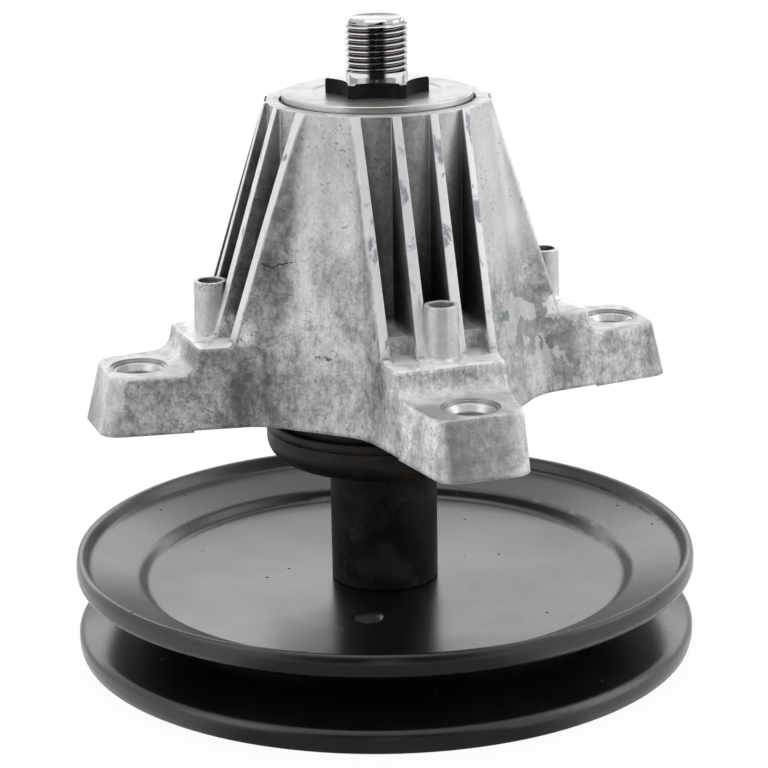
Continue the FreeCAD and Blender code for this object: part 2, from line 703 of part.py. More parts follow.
def pulley_disc(label, side):
    """Disc pressed from sheet; side is the sign of its heights from the middle plane."""
    body = new_body(label)
    rim, web = "dim.pulley_dia / 2", "dim.web_dia / 2"

    def at(height):
        return "dim.web_mid %s (%s)" % (side, height)

    def flange(radius):
        return "dim.flange_rise + dim.flange_skin + dim.flange_slope * (%s - %s + 0.2)" % (radius, web)

    lip = rim + " - 3.3"
    bend = web + " + 2"
    hole = "dim.seat_flats / 2 + 0.05"
    top = "dim.pulley_height / 2"
    turned(body, label + "_form", [
        (hole, "dim.web_mid"),
        (web + " - 2", "dim.web_mid", "2"),
        (web + " - 0.2", at("dim.flange_rise"), "2"),
        (rim, at(top + " - dim.lip_drop"), "dim.lip_bend"),
        (rim, at(top + " - 0.35 * dim.lip_drop"), "2.5"),
        (rim + " - dim.lip_lean", at(top), "0.6"),
        (rim + " - 1.9", at(top), "0.5"),
        (lip, at(flange(lip)), "1"),
        (bend, at(flange(bend)), "1.6"),
        (web, at("dim.sheet"), "1.6"),
        (hole, at("dim.sheet")),
    ])
    seat = new_sketch(body, label + "_seat", "XY_Plane", at("dim.sheet"))
    double_flat(seat, "dim.seat_dia / 2 + 0.05", "dim.seat_flats + 0.1")
    pocket(body, label + "_bore", seat, "dim.sheet", side == "-")
    floor_r, face_r = "dim.weld_dia / 2 - 1", "dim.weld_dia / 2"
    mark = primitive(body, "SubtractiveCone", label + "_mark", {
        "Radius1": floor_r if side == "+" else face_r,
        "Radius2": face_r if side == "+" else floor_r,
        "Height": "dim.weld_depth",
    }, "dim.weld_circle / 2 * cos(dim.weld_turn * 1 deg)",
        at("dim.sheet - dim.weld_depth") if side == "+" else at("dim.sheet"),
        "dim.weld_circle / 2 * sin(dim.weld_turn * 1 deg)")
    around(body, label + "_marks", [mark], "2")


def pulley_nut():
    body = new_body("pulley_nut")
    top = "dim.web_mid - dim.sheet"
    half = "dim.nut_flats / 2"
    side = "dim.nut_flats / 2 * tan(30 deg)"
    point = "dim.nut_flats / 2 / cos(30 deg)"
    hexagon = polygon(new_sketch(body, "hexagon", "XY_Plane", "%s - dim.nut_height" % top), [
        (half, "-(%s)" % side),
        (half, side),
        ("0", point),
        ("-(%s)" % half, side),
        ("-(%s)" % half, "-(%s)" % side),
        ("0", "-(%s)" % point),
    ])
    pad(body, "nut_hexagon", hexagon, "dim.nut_height")
    turned(body, "nut_flange", [
        ("dim.stud_dia / 2 + 0.06", top + " - 2.4"),
        ("dim.nut_flange / 2", top + " - 1.6"),
        ("dim.nut_flange / 2", top),
        ("dim.stud_dia / 2 + 0.06", top),
    ])
    bore = new_sketch(body, "nut_bore_plan", "XY_Plane", top)
    circle(bore, "0", "0", "dim.stud_dia / 2 + 0.06")
    pocket(body, "nut_bore", bore, "dim.nut_height + 1")


def check_and_write():
    doc.recompute()
    for item in doc.Objects:
        if "Invalid" in item.State or "Error" in item.State:
            raise RuntimeError("failed feature: " + item.Label)
    os.makedirs("parts", exist_ok=True)
    for node in nodes:
        if node.Shape.isNull() or not node.Shape.isValid():
            raise RuntimeError("bad shape: " + node.Label)
        node.Shape.exportStep("parts/%s.step" % node.Label)


fill_sheet()
housing()
bearing("blade")
bearing("pulley")
spindle_shaft()
blade_disc()
clamped_tubes()
pulley_disc("pulley_upper_disc", "+")
pulley_disc("pulley_lower_disc", "-")
pulley_nut()
check_and_write()
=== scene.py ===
import math

import bpy
from mathutils import Matrix, Vector

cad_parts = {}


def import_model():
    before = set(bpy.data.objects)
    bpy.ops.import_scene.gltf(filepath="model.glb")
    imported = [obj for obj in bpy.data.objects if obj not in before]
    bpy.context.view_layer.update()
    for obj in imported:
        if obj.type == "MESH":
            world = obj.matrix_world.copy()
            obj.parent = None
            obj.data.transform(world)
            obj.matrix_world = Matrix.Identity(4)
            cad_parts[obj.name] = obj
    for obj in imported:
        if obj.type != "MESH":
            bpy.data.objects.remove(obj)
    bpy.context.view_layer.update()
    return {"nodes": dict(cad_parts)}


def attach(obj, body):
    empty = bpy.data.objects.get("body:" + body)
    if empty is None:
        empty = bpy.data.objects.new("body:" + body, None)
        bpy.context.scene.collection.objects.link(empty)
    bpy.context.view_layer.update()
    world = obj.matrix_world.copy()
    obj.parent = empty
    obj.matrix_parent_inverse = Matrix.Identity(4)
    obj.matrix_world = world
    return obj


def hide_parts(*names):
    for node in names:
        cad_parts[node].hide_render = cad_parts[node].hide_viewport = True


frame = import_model()
nodes = frame["nodes"]
MM = 0.001


# Node helpers

NUMBER_RESULTS = ("LENGTH", "DISTANCE", "DOT_PRODUCT")
BEVEL_SAMPLES = 6
LINE_CORE = 0.4


def grey(value, tint=(1.0, 1.0, 1.0)):
    """Colour of one level, or with a tint a colour near it."""
    return (value * tint[0], value * tint[1], value * tint[2], 1.0)


class Nodes:
    """Node tree whose nodes are made with short calls; an input is a value or a socket to link."""

    def __init__(self, tree):
        self.tree = tree

    def add(self, kind, inputs=None, **settings):
        node = self.tree.nodes.new(kind)
        for key, value in settings.items():
            setattr(node, key, value)
        for key, value in (inputs or {}).items():
            self.put(node.inputs[key], value)
        return node

    def put(self, socket, value):
        if isinstance(value, bpy.types.NodeSocket):
            self.tree.links.new(value, socket)
        else:
            socket.default_value = value

    def math(self, operation, a, b=0.0, clamp=False):
        node = self.add("ShaderNodeMath", {0: a, 1: b}, operation=operation, use_clamp=clamp)
        return node.outputs[0]

    def multiply_add(self, value, factor, addend):
        inputs = {0: value, 1: factor, 2: addend}
        return self.add("ShaderNodeMath", inputs, operation="MULTIPLY_ADD").outputs[0]

    def vector(self, operation, *inputs):
        """Vector math; a length, a distance and a dot product come back as a number."""
        node = self.add("ShaderNodeVectorMath", dict(enumerate(inputs)), operation=operation)
        return node.outputs["Value" if operation in NUMBER_RESULTS else "Vector"]


class Shader(Nodes):
    """Material with one Principled shader; where is the place on the object, in metres."""

    def __init__(self, name):
        self.material = bpy.data.materials.new(name)
        self.material.use_nodes = True
        super().__init__(self.material.node_tree)
        self.main = self.tree.nodes["Principled BSDF"]
        self.where = self.add("ShaderNodeTexCoord").outputs["Object"]

    def set(self, **inputs):
        """Inputs of the Principled shader, with _ for a space."""
        for key, value in inputs.items():
            self.put(self.main.inputs[key.replace("_", " ")], value)

    def stretch(self, scale):
        """Place with each axis scaled, to draw a pattern out along an axis."""
        return self.add("ShaderNodeMapping", {"Vector": self.where, "Scale": scale}).outputs[0]

    def noise(self, scale, detail, rough=0.55, bend=0.0, where=None):
        inputs = {"Vector": where or self.where, "Scale": scale, "Detail": detail,
                  "Roughness": rough, "Distortion": bend}
        return self.add("ShaderNodeTexNoise", inputs).outputs[0]

    def noise_vector(self, scale):
        """Noise that differs along each axis."""
        inputs = {"Vector": self.where, "Scale": scale, "Detail": 3.0}
        return self.add("ShaderNodeTexNoise", inputs).outputs["Color"]

    def cells(self, scale, where=None):
        """Distance to the nearest of scattered points."""
        inputs = {"Vector": where or self.where, "Scale": scale}
        return self.add("ShaderNodeTexVoronoi", inputs).outputs["Distance"]

    def band(self, value, start, full, low=0.0, high=1.0):
        """Smooth step from low at start to high at full."""
        inputs = {"Value": value, "From Min": start, "From Max": full, "To Min": low, "To Max": high}
        return self.add("ShaderNodeMapRange", inputs, interpolation_type="SMOOTHSTEP").outputs[0]

    def between(self, value, start, full, fade, end):
        """1 between full and fade, 0 before start and after end."""
        return self.product(self.band(value, start, full), self.band(value, end, fade))

    def ramp(self, value, start, full):
        """Smooth step from 0 at start to 1 at full, in millimetres."""
        return self.band(value, start * MM, full * MM)

    def span(self, value, start, full, fade, end):
        """Like between, in millimetres."""
        return self.between(value, start * MM, full * MM, fade * MM, end * MM)

    def opposite(self, value):
        return self.math("SUBTRACT", 1.0, value)

    def apart(self, a, b):
        """Size of the difference."""
        return self.math("ABSOLUTE", self.math("SUBTRACT", a, b))

    def mix(self, factor, a, b, blend="MIX"):
        """Mix of two colours."""
        node = self.add("ShaderNodeMix", data_type="RGBA", blend_type=blend)
        for index, value in ((0, factor), (6, a), (7, b)):
            self.put(node.inputs[index], value)
        return node.outputs[2]

    def blend(self, factor, a, b):
        """Mix of two vectors."""
        node = self.add("ShaderNodeMix", data_type="VECTOR")
        for index, value in ((0, factor), (4, a), (5, b)):
            self.put(node.inputs[index], value)
        return node.outputs[1]

    def bump(self, height, strength, distance, before=None):
        inputs = {"Height": height, "Strength": strength, "Distance": distance}
        if before is not None:
            inputs["Normal"] = before
        return self.add("ShaderNodeBump", inputs).outputs[0]

    def split(self, vector):
        return self.add("ShaderNodeSeparateXYZ", {0: vector}).outputs

    def flat_length(self, x, y):
        flat = self.add("ShaderNodeCombineXYZ", {"X": x, "Y": y}).outputs[0]
        return self.vector("LENGTH", flat)

    def product(self, *values):
        result = values[0]
        for value in values[1:]:
            result = self.math("MULTIPLY", result, value)
        return result

    def total(self, *pairs):
        """Sum of value times weight."""
        result = self.math("MULTIPLY", *pairs[0])
        for value, weight in pairs[1:]:
            result = self.multiply_add(value, weight, result)
        return result

    def near(self, points, half_width, ragged):
        """1 on the line through points and 0 past its half width; ragged shakes it; in millimetres."""
        shake = self.vector("SUBTRACT", self.noise_vector(900.0), (0.5, 0.5, 0.5))
        place = self.vector("MULTIPLY_ADD", shake, (ragged * MM,) * 3, self.where)
        nearest = None
        for a, b in zip(points, points[1:]):
            start = Vector(a) * MM
            run = (Vector(b) - Vector(a)) * MM
            off = self.vector("SUBTRACT", place, start)
            along = self.vector("DOT_PRODUCT", off, run / run.length_squared)
            share = self.math("ADD", along, 0.0, clamp=True)
            scaled = self.add("ShaderNodeVectorMath", {0: run, "Scale": share}, operation="SCALE")
            gap = self.vector("DISTANCE", off, scaled.outputs[0])
            nearest = gap if nearest is None else self.math("MINIMUM", nearest, gap)
        return self.ramp(nearest, half_width, half_width * LINE_CORE)

    def rounded(self, radius):
        """Normal with edges rounded by a radius in millimetres."""
        return self.add("ShaderNodeBevel", {"Radius": radius * MM}, samples=BEVEL_SAMPLES).outputs[0]

    def edge_wear_and_highlight(self, soft):
        """0 on flats and 1 on edges, from a rounded normal; it carries edge wear and painted edge
        highlights.
        """
        true = self.add("ShaderNodeNewGeometry").outputs["Normal"]
        return self.band(self.vector("DOT_PRODUCT", soft, true), 0.999, 0.86)


# Cast housing: heights, distances from the axis and radii in millimetres

MOUNT_FACE = 66.0
LEDGE = 87.5
SILL = 92.1
POST_TOP = 101.2
BOLT_AT = 65.2
POST_AT = 45.6
POST_RADIUS = 5.6
BORE_RADIUS = 7.4
BORE_LINES = (7.15, 6.45)
SLOT_REACH = 22.0

# Marks on the housing: points of a line in millimetres

CRACK = ((-37.0, -15.2, 108.3), (-36.0, -15.6, 107.9), (-34.7, -15.9, 107.2),
         (-33.9, -16.0, 106.8), (-32.7, -16.3, 107.4), (-31.8, -16.6, 107.7),
         (-30.8, -17.1, 107.8), (-29.8, -17.8, 108.2), (-28.7, -18.6, 108.4))
DARK_MARKS = (((-26.2, -25.7, 85.4), (-25.2, -26.4, 85.5)),
              ((-24.4, -27.2, 86.4), (-24.1, -27.6, 85.5), (-23.2, -28.5, 85.2)),
              ((-25.2, -29.3, 70.8), (-25.1, -29.4, 70.6)),
              ((19.8, -31.2, 89.5), (19.7, -31.3, 88.9)))
SQUIGGLE = ((-66.8, -12.5, 76.3), (-65.7, -12.6, 76.9), (-64.5, -12.8, 76.7),
            (-63.8, -12.9, 75.9), (-64.4, -12.9, 75.2))
GREEN = ((21.6, -29.0, 91.1), (22.8, -27.8, 91.0))
GREEN_SHADE = ((23.6, -27.0, 91.3), (25.8, -25.0, 90.6))
RUST_SPECK = ((-0.8, -41.4, 101.2), (0.4, -40.6, 101.2))

# Colours and tints of the housing

GREEN_PAINT = (0.02, 0.27, 0.08, 1.0)
SPECK_RUST = (0.20, 0.10, 0.04, 1.0)
RIM_RUST = (0.22, 0.13, 0.06, 1.0)
POST_RUST = (0.12, 0.08, 0.05, 1.0)
FAINT_COOL = (0.995, 1.0, 1.012)
COOL = (0.99, 0.99, 1.02)
END_COOL = (0.985, 0.985, 1.03)
LUMP_COOL = (0.97, 0.97, 1.05)
# Tint of the painted shade on the front foot
FOOT_SHADE_COOL = (0.96, 0.96, 1.07)
BLOTCH_BLUE = (0.94, 0.95, 1.15)
BROWNISH = (1.1, 1.0, 0.9)
GREENISH = (0.85, 1.1, 0.9)
TONE_MIDDLE = 1.235
METAL_SHARE = 0.75


class Casting(Shader):
    """Die-cast aluminium, built up in layers that each cover the ones before."""

    def __init__(self, name):
        super().__init__(name)
        self.x, self.y, self.z = self.split(self.where)
        across = self.math("ABSOLUTE", self.x)
        along = self.math("ABSOLUTE", self.y)
        self.reach = self.math("MAXIMUM", across, along)
        self.aside = self.math("MINIMUM", across, along)
        facing = self.split(self.add("ShaderNodeTexCoord").outputs["Normal"])["Z"]
        self.upward = self.band(facing, 0.55, 0.92)
        self.upright = self.between(facing, -0.12, -0.06, 0.06, 0.12)
        self.fin = self.product(self.between(facing, 0.20, 0.27, 0.40, 0.50), self.ramp(self.z, 85, 92))
        self.ledge = self.product(self.upward, self.span(self.z, 84, 86, 96, 100))
        self.foot = self.ramp(self.z, 96, 90)
        self.low = self.ramp(self.z, 128, 85)
        self.grain = self.noise(1500, 3, 0.6)
        self.mottle = self.noise(430, 5, 0.60, 0.4)
        self.soft = self.rounded(0.55)
        self.edges = self.edge_wear_and_highlight(self.soft)

    def lay(self, colour, *masks, blend="MIX"):
        """Covers the colour so far by the product of the masks."""
        self.base = self.mix(self.product(*masks), self.base, colour, blend)

    def skin(self):
        """Clouds, grain and drawn streaks; darker at the tower's top, and calmer at its right, which is
        painted lighter as painted light.
        """
        cloud = self.noise(60, 5, 0.62, 0.6)
        drawn = self.noise(75, 4, 0.5, 0.3, self.stretch((1.0, 1.0, 0.22)))
        streak = self.noise(900, 4, 0.6, 0.2, self.stretch((1.0, 1.0, 0.35)))
        tone = self.total((self.mottle, 0.45), (self.grain, 0.32), (cloud, 0.70), (drawn, 0.60),
                          (streak, 0.28))
        contrast = self.band(self.low, 0.0, 1.0, 0.65, 1.0)
        tone = self.product(self.math("SUBTRACT", tone, TONE_MIDDLE), contrast)
        self.base = self.mix(self.band(tone, -0.34, 0.28), grey(0.13), grey(0.72, FAINT_COOL))
        self.lay(grey(0.24), self.ramp(self.z, 124, 142), 0.15)
        # Painted light: high on the tower's right side the colour is painted lighter, which also calms its
        # mottle.
        self.lay(grey(0.60), self.ramp(self.x, 0, 14), self.ramp(self.z, 100, 114), 0.65)

    def flaws(self):
        """Broken flow lines, specks and pores."""
        flow = self.noise(75, 4, 0.55, 2.2)
        line = self.band(self.apart(flow, 0.5), 0.016, 0.004)
        broken = self.band(self.noise(38, 3, 0.6), 0.47, 0.60)
        self.lay(grey(0.13), line, broken, self.band(self.low, 0.0, 1.0, 0.25, 0.55))
        speck = self.band(self.noise(800, 3, 0.6, 0.8), 0.59, 0.67)
        self.lay(grey(0.10), speck, self.band(self.noise(65, 3), 0.40, 0.58), 0.50)
        self.pore = self.product(self.band(self.cells(560), 0.20, 0.08),
                                 self.band(self.noise(90, 3), 0.50, 0.62))
        self.lay(grey(0.07), self.pore, 0.75)

    def flakes(self):
        """Light and dark flakes low on the panel at the right."""
        bent = self.vector("MULTIPLY_ADD", self.noise_vector(160.0), (0.012, 0.012, 0.012), self.where)
        cell = self.add("ShaderNodeTexVoronoi", {"Vector": bent, "Scale": 130.0}).outputs["Color"]
        flake = self.split(cell)[0]
        panel = self.product(self.span(self.x, 18, 30, 46, 58), self.span(self.z, 70, 78, 92, 112))
        self.lay(grey(0.62), self.band(flake, 0.70, 0.74), panel, 0.50)
        self.lay(grey(0.22), self.band(flake, 0.32, 0.28), panel, 0.45)

    def tops(self):
        """Upward faces, ledges and fins painted lighter as painted light from above; dark lumps on upward
        faces and blotches on fins.
        """
        # Painted light: faces turned up, and the ledges most of all, are painted lighter.
        self.lay(grey(0.62), self.upward, 0.65)
        self.lay(grey(0.86, COOL), self.ledge, 0.70)
        lump = self.band(self.noise(190, 4, 0.6, 0.5), 0.46, 0.64)
        self.lay(grey(0.26, LUMP_COOL), lump, self.upward, 0.50)
        # Painted light: the fins' tilted faces are painted lighter.
        self.lay(grey(0.78, COOL), self.fin, 0.80)
        blotch = self.noise(210, 4, 0.6, 0.9, self.stretch((1.0, 1.0, 0.45)))
        self.lay(grey(0.17, BLOTCH_BLUE), self.band(blotch, 0.555, 0.64), self.fin, 0.75)

    def feet(self):
        """Rounder edges, calm ends, painted shade on the front foot, sides painted lighter as painted
        light, and lines in the holes.
        """
        outward = self.math("SUBTRACT", self.reach, BOLT_AT * MM)
        hole = self.flat_length(outward, self.aside)
        outside = self.product(self.foot, self.ramp(hole, 7.8, 9.2))
        self.soft = self.blend(outside, self.soft, self.rounded(1.7))
        side = self.opposite(self.upward)
        end = self.product(self.ramp(outward, 6.5, 8.5), side)
        self.lay(grey(0.50, END_COOL), end, 0.25)
        # Painted shade: a dark band of reflection on the front foot's left end and on its top.
        front = self.ramp(self.y, -58, -62)
        end_shade = self.product(end, self.span(self.x, -10.5, -8.5, -6.5, -0.5))
        top_shade = self.product(self.upward, self.ramp(self.x, -3.5, -9.0))
        front_foot_shade = self.math("MAXIMUM", end_shade, top_shade)
        self.lay(grey(0.17, FOOT_SHADE_COOL), front, front_foot_shade, 0.55)
        # Painted light: the feet's side faces are painted lighter.
        painted_side_light = self.product(self.ramp(outward, -22, -12), self.foot, side)
        self.lay(grey(1.35), painted_side_light, self.opposite(end), blend="MULTIPLY")
        self.bore = self.ramp(hole, BORE_RADIUS, BORE_RADIUS - 0.3)
        self.lay(grey(0.58), self.bore, 0.85)
        for radius in BORE_LINES:
            line = self.ramp(self.apart(hole, radius * MM), 0.30, 0.12)
            self.lay(grey(0.05), line, self.foot, 0.75)

    def posts_and_sills(self):
        """Light posts, and upright faces between the ledges and the sills painted brighter, as painted
        light.
        """
        inward = self.math("SUBTRACT", self.reach, POST_AT * MM)
        off = self.flat_length(inward, self.aside)
        post = self.product(self.ramp(off, POST_RADIUS, POST_RADIUS - 0.4),
                            self.ramp(self.z, LEDGE + 0.3, LEDGE + 1.5))
        self.lay(grey(0.74), post, 0.50)
        step = self.span(self.z, LEDGE - 0.5, LEDGE + 0.3, SILL - 0.3, SILL + 1.5)
        arm = self.ramp(self.aside, 16.5, 15.5)
        self.sill = self.product(step, self.upright, arm, self.opposite(post))
        # Painted light: the upright faces of the steps are painted brighter.
        self.lay(grey(1.7), self.sill, blend="MULTIPLY")

    def edges_and_slots(self):
        """Painted highlights on the edges; painted shade between the fins and under the mounting face."""
        # Painted highlight: the edges are painted bright.
        self.lay(grey(0.92), self.edges, self.band(self.foot, 0.0, 1.0, 0.6, 0.35))
        # Painted shade: deep in the slots between the fins, where the ambient occlusion is low, the colour
        # is painted dark.
        occlusion = self.add("ShaderNodeAmbientOcclusion", {"Distance": SLOT_REACH * MM}, samples=6)
        slot_shade = self.product(self.band(occlusion.outputs["AO"], 0.60, 0.14),
                              self.ramp(self.z, SILL + 0.5, SILL + 2.5))
        self.lay(grey(0.045), slot_shade, self.band(self.z, 146 * MM, 126 * MM, 0.25, 1.0))
        # Painted shade: the hub under the mounting face is painted nearly black.
        self.lay(grey(0.012), self.ramp(self.z, MOUNT_FACE - 0.2, MOUNT_FACE - 1.5))

    def marks(self):
        """Hairline, dark marks, green paint and rust."""
        self.crack = self.near(CRACK, 0.30, 0.9)
        self.lay(grey(0.03, BROWNISH), self.crack, 0.9)
        for points in DARK_MARKS:
            self.lay(grey(0.03), self.near(points, 0.48, 2.0), 0.85)
        self.lay(grey(0.12), self.near(SQUIGGLE, 0.45, 2.0), 0.45)
        self.lay(grey(0.12, GREENISH), self.near(GREEN_SHADE, 1.6, 3.0), 0.7)
        spots = self.band(self.grain, 0.42, 0.56)
        self.lay(GREEN_PAINT, self.near(GREEN, 1.0, 3.0), spots)
        self.lay(SPECK_RUST, self.near(RUST_SPECK, 0.7, 2.0), 0.8)
        patches = self.band(self.noise(70, 3), 0.50, 0.60)
        self.lay(RIM_RUST, self.ramp(self.z, MOUNT_FACE + 1.0, MOUNT_FACE + 0.3), patches, spots, 0.8)
        rim = self.span(self.z, POST_TOP - 2.7, POST_TOP - 0.7, POST_TOP, POST_TOP + 0.4)
        left = self.ramp(self.x, -42, -44)
        self.lay(POST_RUST, rim, left, self.band(self.grain, 0.50, 0.60), 0.7)

    def finish(self):
        """Sets the shader's inputs; less metallic low down, on fins and on upward faces."""
        height = self.total((self.grain, 0.35), (self.mottle, 0.7), (self.pore, -0.5), (self.crack, -1.2))
        rough = self.product(self.band(self.mottle, 0.3, 0.75, 0.34, 0.56),
                             self.band(self.bore, 0.0, 1.0, 1.0, 0.75))
        rough = self.math("MAXIMUM", rough, self.product(self.fin, 0.60))
        skin = self.product(self.ramp(self.z, 116, 88), self.opposite(self.bore))
        dull = self.total((self.upward, 0.10), (self.ledge, 0.25), (skin, 0.30), (self.fin, 0.45),
                          (self.sill, 0.20))
        metal = self.math("SUBTRACT", METAL_SHARE, dull, clamp=True)
        self.set(Base_Color=self.base, Metallic=metal, Roughness=rough, Specular_Tint=grey(0.80),
                 Normal=self.bump(height, 0.32, 0.20 * MM, self.soft))


def cast_aluminium():
    """Skin of the housing."""
    s = Casting("cast_aluminium")
    s.skin()
    s.flaws()
    s.flakes()
    s.tops()
    s.feet()
    s.posts_and_sills()
    s.edges_and_slots()
    s.marks()
    s.finish()
    return s.material


# Sizes of the shaft: radii and heights in millimetres

CREST = 7.94
THREAD_PITCH = 1.5
THREAD_DEPTH = 0.58 * THREAD_PITCH
# Share of the pitch, and level from the root, 0, to the crest, 1
THREAD_PROFILE = ((0.0, 1.0), (0.10, 1.0), (0.42, 0.0), (0.58, 0.0), (0.90, 1.0))
NUT_END = 6.9
NUT_LOW = 0.6
NUT_HIGH = 9.1
RELIEF = 7.18
RELIEF_TOP = 9.9
SEAT = 8.7
SEAT_TOP = 16.6
JOURNAL = 9.98
STAR_LOW = 146.3
STAR_HIGH = 150.1
STAR_TURN = math.radians(-18.6)
STAR_STEP = math.radians(60)
STAR_TIP = 13.2
STAR_BREAK = 12.8
STAR_INSET = 0.15
STAR_INNER = 10.0
VALLEY_AT = 21.8
VALLEY_RADIUS = 11.5
STUD_NECK = 7.88
STUD_LOW = 151.9
STUD_MIDDLE = 159.0
STUD_HIGH = 165.3
STUD_END = 6.64
DIMPLE_RIM = 6.4
DIMPLE = 6.1
DIMPLE_LEVEL = 165.2

# Other materials

STEEL_TINT = grey(0.60)
WARM = (1.05, 1.0, 0.95)
CUP_BROWN = (1.4, 1.05, 0.80)
WELD_MARKS = ((-14.69, -29.21), (14.69, 29.21))
WELD_RADIUS = 3.7


def turned_steel(name, value, rough_low, rough_high):
    """Bright turned steel with fine tool rings about the axis."""
    s = Shader(name)
    stain = s.noise(120, 5, 0.6)
    wave = {"Vector": s.where, "Scale": 1500.0, "Distortion": 0.4, "Detail": 1.0}
    ring = s.add("ShaderNodeTexWave", wave, wave_type="RINGS", rings_direction="Z").outputs[1]
    soft = s.rounded(0.12)
    base = s.mix(s.band(stain, 0.3, 0.75), grey(value), grey(value * 0.82, (1.04, 1.0, 0.95)))
    # Painted highlight: the edges are painted light.
    base = s.mix(s.product(s.edge_wear_and_highlight(soft), 0.4), base, grey(0.8))
    s.set(Base_Color=base, Metallic=1.0, Roughness=s.band(stain, 0.3, 0.8, rough_low, rough_high),
          Specular_Tint=STEEL_TINT, Normal=s.bump(ring, 0.1, 0.02 * MM, soft))
    return s.material


def thread_steel():
    """Cut thread with bright crests and dark roots; plain at the stud's neck and tip."""
    s = Shader("thread_steel")
    x, y, z = s.split(s.where)
    stain = s.noise(260, 6, 0.65)
    fine = s.noise(1800, 2)
    root = s.mix(s.band(stain, 0.35, 0.7), grey(0.23, (1.07, 1.0, 0.98)), grey(0.13, (1.12, 1.0, 0.95)))
    base = s.mix(s.ramp(s.flat_length(x, y), CREST - 0.24, CREST - 0.02), root, grey(0.80))
    neck = s.ramp(z, STUD_LOW + 0.1, STUD_LOW - 0.05)
    tip = s.ramp(z, STUD_HIGH - 1.45, STUD_HIGH - 1.35)
    plain = s.math("ADD", neck, tip, clamp=True)
    upper = s.ramp(z, STUD_MIDDLE - 1.0, STUD_MIDDLE + 1.0)
    base = s.mix(plain, base, s.mix(upper, grey(0.80), grey(0.50)))
    rough = s.product(s.band(stain, 0.3, 0.8, 0.12, 0.26), s.band(plain, 0.0, 1.0, 1.0, 0.4))
    s.set(Base_Color=base, Metallic=1.0, Roughness=rough, Specular_Tint=STEEL_TINT,
          Normal=s.bump(fine, 0.06, 0.05 * MM))
    return s.material


def black_star():
    """Dull black on the star's sides."""
    s = Shader("black_star")
    stain = s.noise(300, 5, 0.6)
    base = s.mix(s.band(stain, 0.4, 0.7), grey(0.004), grey(0.012, WARM))
    s.set(Base_Color=base, Metallic=0.0, Roughness=s.band(stain, 0.3, 0.7, 0.55, 0.70), IOR=1.20,
          Normal=s.bump(stain, 0.1, 0.05 * MM))
    return s.material


def black_oxide(name, brown, gloss):
    """Dark oxide finish with brown wear and light scratches; gloss is the index of refraction."""
    s = Shader(name)
    wear = s.noise(85, 7, 0.65, 0.6)
    fine = s.noise(900, 4, 0.6)
    trace = s.noise(110, 3, 0.6, 3.0, s.stretch((1.0, 1.0, 0.5)))
    scratch = s.product(s.between(trace, 0.497, 0.5, 0.502, 0.506), s.band(s.noise(60, 3), 0.50, 0.60))
    soft = s.rounded(0.5)
    base = s.mix(s.band(wear, 0.42, 0.72), grey(0.006), grey(0.026, brown))
    base = s.mix(s.product(scratch, 0.5), base, grey(0.14, BROWNISH))
    base = s.mix(s.product(s.edge_wear_and_highlight(soft), 0.4), base, grey(0.05, brown))
    height = s.multiply_add(wear, 0.6, fine)
    s.set(Base_Color=base, Metallic=0.06, Roughness=s.band(wear, 0.3, 0.75, 0.44, 0.62), IOR=gloss,
          Normal=s.bump(height, 0.12, 0.1 * MM, soft))
    return s.material


def satin_black():
    """Satin black paint with orange peel, a few specks and dull weld marks."""
    s = Shader("satin_black")
    place = s.split(s.where)
    peel = s.noise(900, 2, 0.5)
    cloud = s.noise(45, 5, 0.6)
    haze = s.noise(16, 3, 0.5)
    light = s.band(s.cells(105), 0.032, 0.014)
    dark = s.band(s.cells(120, s.stretch((1.0, 0.93, 1.1))), 0.060, 0.035)
    soft = s.rounded(1.3)
    base = s.mix(s.band(cloud, 0.3, 0.7), grey(0.0028), grey(0.0055))
    base = s.mix(s.product(light, 0.6), base, grey(0.14))
    base = s.mix(s.product(s.edge_wear_and_highlight(soft), 0.08), base, grey(0.05))
    mark = 0.0
    for x, y in WELD_MARKS:
        off_x = s.math("SUBTRACT", place["X"], x * MM)
        off_y = s.math("SUBTRACT", place["Y"], y * MM)
        spot = s.ramp(s.flat_length(off_x, off_y), WELD_RADIUS, WELD_RADIUS - 0.8)
        mark = s.math("ADD", mark, spot)
    base = s.mix(s.product(mark, 0.8), base, grey(0.030))
    rough = s.total((s.band(cloud, 0.3, 0.75, 0.21, 0.26), 1.0), (s.band(haze, 0.4, 0.6), 0.03),
                    (mark, 0.2), (dark, 0.7))
    height = s.total((peel, 0.5), (light, 0.8), (dark, -1.2))
    s.set(Base_Color=base, Roughness=rough, IOR=1.60, Normal=s.bump(height, 0.10, 0.10 * MM, soft))
    return s.material


def plain_detail(name, colour, metallic, rough, scale):
    """Finish of the pieces inside the housing: colour and roughness vary slightly."""
    s = Shader(name)
    stain = s.noise(scale, 5, 0.6)
    dark = tuple(part * 0.78 for part in colour[:3]) + (1.0,)
    s.set(Base_Color=s.mix(s.band(stain, 0.35, 0.7), colour, dark), Metallic=metallic,
          Roughness=s.band(stain, 0.3, 0.7, rough, rough + 0.12), Normal=s.bump(stain, 0.08, 0.05 * MM))
    return s.material


CAD_SHARP = math.radians(24)


